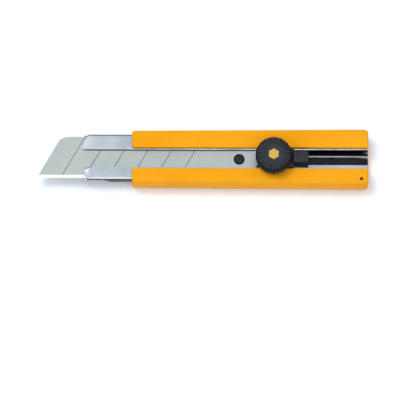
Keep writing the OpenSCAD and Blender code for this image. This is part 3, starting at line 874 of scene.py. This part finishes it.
def make_slider(mats):
    """The sliding block: a low pad under the wheel, a rib behind it and a neck in the slot."""
    low, high = SLIDER_LOW, SLIDER_HIGH
    pad_half, rib_half, neck_half = 6.0, 3.45, LIP_HALF - 0.3
    rib_x = WHEEL_X + (WHEEL_HIGH.x - WHEEL_LOW.x) / 2 + 0.4
    pad_front, pad_rear, pad_top = WHEEL_X - 8, rib_x + 1, 16.6
    pad = [(pad_front, SLOT_Y - pad_half, 3), (pad_rear, SLOT_Y - pad_half, 1.2),
           (pad_rear, SLOT_Y + pad_half, 1.2), (pad_front, SLOT_Y + pad_half, 3)]
    body = prism("slider_block", fillet(pad, 5), LIP_Z + 0.05, pad_top, 0.5, 0.15)
    rib = [(rib_x, SLOT_Y - rib_half, 0.4), (high.x, SLOT_Y - rib_half, 0.9),
           (high.x, SLOT_Y + rib_half, 0.9), (rib_x, SLOT_Y + rib_half, 0.4)]
    combine(body, prism("rib", fillet(rib, 5), low.z + 0.2, high.z, 0.7, 0.1), "UNION")
    edge_x = BLADE_LOW.x + EDGE_LENGTH + 0.3
    y0, y1 = SLOT_Y - neck_half, SLOT_Y + neck_half
    neck = [(edge_x + (y0 - BLADE_LOW.y) * RUN, y0), (high.x, y0), (high.x, y1),
            (edge_x + (y1 - BLADE_LOW.y) * RUN, y1)]
    combine(body, prism("neck", neck, LIP_Z - SHEET + 0.03, LIP_Z + 0.3, steps=1), "UNION")
    combine(body, cylinder("bore", WHEEL_X, SLOT_Y, BORE_R, 0, 30), "DIFFERENCE")
    return finish_piece(body, "carriage", [mats["slider"]], ["slider_body"], 32)


# ---- lock wheel --------------------------------------------------------------

RIBS = 38
RIB_OUT, RIB_DOWN = 0.55, 0.8  # depth between two ribs, on the rim and on the face
SOCKET_FLAT, NUT_FLAT = 3.09, 3.05  # centre to flat of the wheel's hexagon and of the nut
HOLLOW_TOP, CORE_TOP = 18.9, 19.4  # levels of the stepped hollow under the wheel


def hex_radius(angle, flat):
    """Radius at an angle of a hexagon with corners on the Y axis."""
    part = (angle + math.pi / 6) % (math.pi / 3) - math.pi / 6
    return flat / math.cos(part)


def make_wheel(mats):
    """The ribbed knob: one lathe profile whose points wave in and out round the rim."""
    z0, z1 = WHEEL_LOW.z, WHEEL_HIGH.z
    r = (WHEEL_HIGH.x - WHEEL_LOW.x) / 2
    flat, lead = SOCKET_FLAT, 0.12
    # (radius, height, share of the rib's depth outwards, share downwards)
    profile = [(flat, z1 - 0.42, 0, 0), (flat + lead, z1 - 0.4, 0, 0), (4.5, z1 - 0.42, 0, 0),
               (5.2, z1 - 0.36, 0, 0), (5.5, z1 - 0.12, 0, 0), (5.75, z1 - 0.01, 0, 0),
               (6.1, z1, 0, 0), (6.35, z1 - 0.02, 0, 0.3), (6.8, z1 - 0.06, 0, 0.8),
               (8.6, z1 - 0.14, 0, 1), (r - 1.1, z1 - 0.3, 0.2, 1), (r - 0.6, z1 - 0.5, 0.6, 1),
               (r - 0.2, z1 - 0.8, 1, 0.6), (r, z1 - 1.2, 1, 0), (r, z1 - 4, 1, 0),
               (r, z0 + 1.2, 1, 0), (r - 0.15, z0 + 0.6, 0.8, 0), (r - 0.5, z0, 0.2, 0),
               (7.7, z0, 0, 0), (7.7, HOLLOW_TOP, 0, 0), (4.3, HOLLOW_TOP, 0, 0),
               (4.3, CORE_TOP, 0, 0), (flat, CORE_TOP, 0, 0)]

    def wobble(angle, index, radius, z):
        _, _, out, down = profile[index]
        wave = math.cos(RIBS * angle)
        notch = ease(0.5 - 0.8 * wave)
        if index in (0, len(profile) - 1):
            radius = hex_radius(angle, flat)
        if index == 1:
            radius = hex_radius(angle, flat) + lead
        return radius - RIB_OUT * notch * out, z - RIB_DOWN * notch * down

    verts, faces = lathe([p[:2] for p in profile], (WHEEL_X, SLOT_Y), RIBS * 12, wobble)
    knob = build("wheel_knob", verts, faces, "wheel",
                 [mats["wheel"], mats["groove"], mats["ridge"]], ["lock_wheel"], 50)
    # painted shade on the rim's side and between the ribs, painted highlight on the rib tops
    for p in knob.data.polygons:
        place = p.center.xy / MM - Vector((WHEEL_X, SLOT_Y))
        wave = math.cos(RIBS * math.atan2(place.y, place.x))
        if place.length > r - 0.9:
            p.material_index = 1
        elif place.length > 6.5 and p.center.z > (z0 + 0.8) * MM:
            p.material_index = 1 if wave < -0.4 else 2 if wave > 0.2 else 0
    return knob


def make_nut(mats):
    """The hexagon insert: a round flange below, a bevelled hexagon above."""
    z0, z1 = NUT_LOW.z, NUT_HIGH.z
    flat, bore, flange, bevel = NUT_FLAT, 2.05, 4.2, 0.3
    profile = [(bore, z0), (flange, z0), (flange, z0 + 0.7), (flat, z0 + 0.7),
               (flat, z1 - 0.35), (flat - bevel, z1), (bore + 0.3, z1), (bore, z1 - 0.25)]

    def wobble(angle, index, radius, z):
        if index in (3, 4):
            radius = hex_radius(angle, flat)
        if index == 5:
            corner = hex_radius(angle, flat)
            radius = corner - bevel - 0.1 * (corner - flat)
        return radius, z

    verts, faces = lathe(profile, (WHEEL_X, SLOT_Y), 96, wobble)
    return build("brass_insert", verts, faces, "wheel", mats["pale_brass"],
                 ["hex_nut"], 30)


# ---- plain CAD nodes that keep their shape -----------------------------------

def paint_cad_nodes(mats):
    """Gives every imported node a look, also those that a piece replaces."""
    looks = {"slider_tongue": "black", "slider_screw": "zinc", "clamp_plate": "zinc",
             "lock_stud": "brass", "flat_washer": "zinc", "wave_washer": "spring",
             "ratchet_disc": "zinc", "click_spring": "spring"}
    for name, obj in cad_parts.items():
        obj.data.materials.clear()
        obj.data.materials.append(mats[looks.get(name, "black")])
        smooth(obj, 30)


# ---- studio ------------------------------------------------------------------

PICTURE, PX_PER_MM = 400, 1.684  # the picture's width, and its scale
TILT = math.radians(76)  # the camera's height above the horizon
ROLL = math.radians(0.14)
DISTANCE, SENSOR = 5.0, 36  # metres to the camera, and its sensor's width in millimetres
SKY_FOOT, SKY_TOP = 0.15, 1.0  # the tent's brightness at the horizon and overhead


def make_floor():
    """A wide light table under the knife."""
    mesh = bpy.data.meshes.new("floor")
    size = 4.0
    mesh.from_pydata([(-size, -size, 0), (size, -size, 0), (size, size, 0), (-size, size, 0)],
                     [], [(0, 1, 2, 3)])
    floor = bpy.data.objects.new("floor", mesh)
    bpy.context.scene.collection.objects.link(floor)
    s = Surface("light_table", Base_Color=(0.86, 0.91, 0.97, 1), Roughness=0.9,
                Emission_Color=(1, 1, 1, 1), Emission_Strength=0.12)
    mesh.materials.append(s.mat)


def area_light(name, place, target, size, power):
    """A white rectangular light at a place, turned towards a target; lengths in metres."""
    light = bpy.data.lights.new(name, "AREA")
    light.shape = "RECTANGLE"
    light.size, light.size_y = size
    light.energy = power
    obj = bpy.data.objects.new(name, light)
    obj.location = place
    obj.rotation_euler = (Vector(target) - Vector(place)).to_track_quat("-Z", "Y").to_euler()
    bpy.context.scene.collection.objects.link(obj)
    return obj


def make_studio():
    """A tent that is bright overhead and darker round its foot, with a soft key light,
    two small glints and a low fill from the near side."""
    make_floor()
    key = area_light("key", (-0.3, 0.3, 1.35), (0, 0, 0), (0.6, 0.6), 8.5)
    key.visible_glossy = False  # the metal mirrors only the tent and the two glints
    area_light("glint", (0, -0.1, 1.2), (0, 0, 0), (0.2, 0.2), 0.3)
    area_light("end_glint", (-0.42, 0.31, 1.18), (0, 0, 0), (0.2, 0.2), 0.45)
    fill = area_light("fill", (0, -0.9, 0.06), (0, 0, 0.01), (0.5, 0.1), 1.1)
    fill.visible_glossy = fill.visible_camera = False  # it only lifts the handle's near side
    world = bpy.data.worlds.new("studio")
    bpy.context.scene.world = world
    world.use_nodes = True
    nodes, links = world.node_tree.nodes, world.node_tree.links
    background = nodes["Background"]
    background.inputs["Color"].default_value = (0.95, 0.97, 1.0, 1)
    height = nodes.new("ShaderNodeSeparateXYZ")
    rise = nodes.new("ShaderNodeMapRange")
    links.new(nodes.new("ShaderNodeTexCoord").outputs["Generated"], height.inputs["Vector"])
    links.new(height.outputs["Z"], rise.inputs["Value"])
    spans = {"From Min": 0, "From Max": 1, "To Min": SKY_FOOT, "To Max": SKY_TOP}
    for socket, limit in spans.items():
        rise.inputs[socket].default_value = limit
    links.new(rise.outputs["Result"], background.inputs["Strength"])
    bpy.context.scene.view_settings.view_transform = "Standard"


def make_camera():
    """A long lens that looks down at the knife from its near side."""
    frame_width = PICTURE / PX_PER_MM * MM
    data = bpy.data.cameras.new("camera")
    data.sensor_width = SENSOR
    data.lens = SENSOR * DISTANCE / frame_width
    camera = bpy.data.objects.new("camera", data)
    back = Vector((0, -math.cos(TILT), math.sin(TILT)))
    up = Vector((0, math.sin(TILT), math.cos(TILT)))
    # The knife lies above the middle of the picture and a touch right of it
    middle = (Vector(cad_box[0]) + Vector(cad_box[1])) / 2
    middle.z = 0
    aim = middle + Vector((-2.5 / PX_PER_MM * MM, 0, 0)) - up * (37.3 / PX_PER_MM * MM)
    camera.location = aim + back * DISTANCE
    level = (-back).to_track_quat("-Z", "Y")
    camera.rotation_euler = (level @ Quaternion((0, 0, 1), ROLL)).to_euler()
    bpy.context.scene.collection.objects.link(camera)
    bpy.context.scene.camera = camera


def main():
    mats = make_materials()
    paint_cad_nodes(mats)
    make_handle(mats)
    make_grip(mats)
    make_badge(mats)
    make_channel(mats)
    make_blade(mats)
    make_pin(mats)
    make_slider(mats)
    make_wheel(mats)
    make_nut(mats)
    make_studio()
    make_camera()


main()
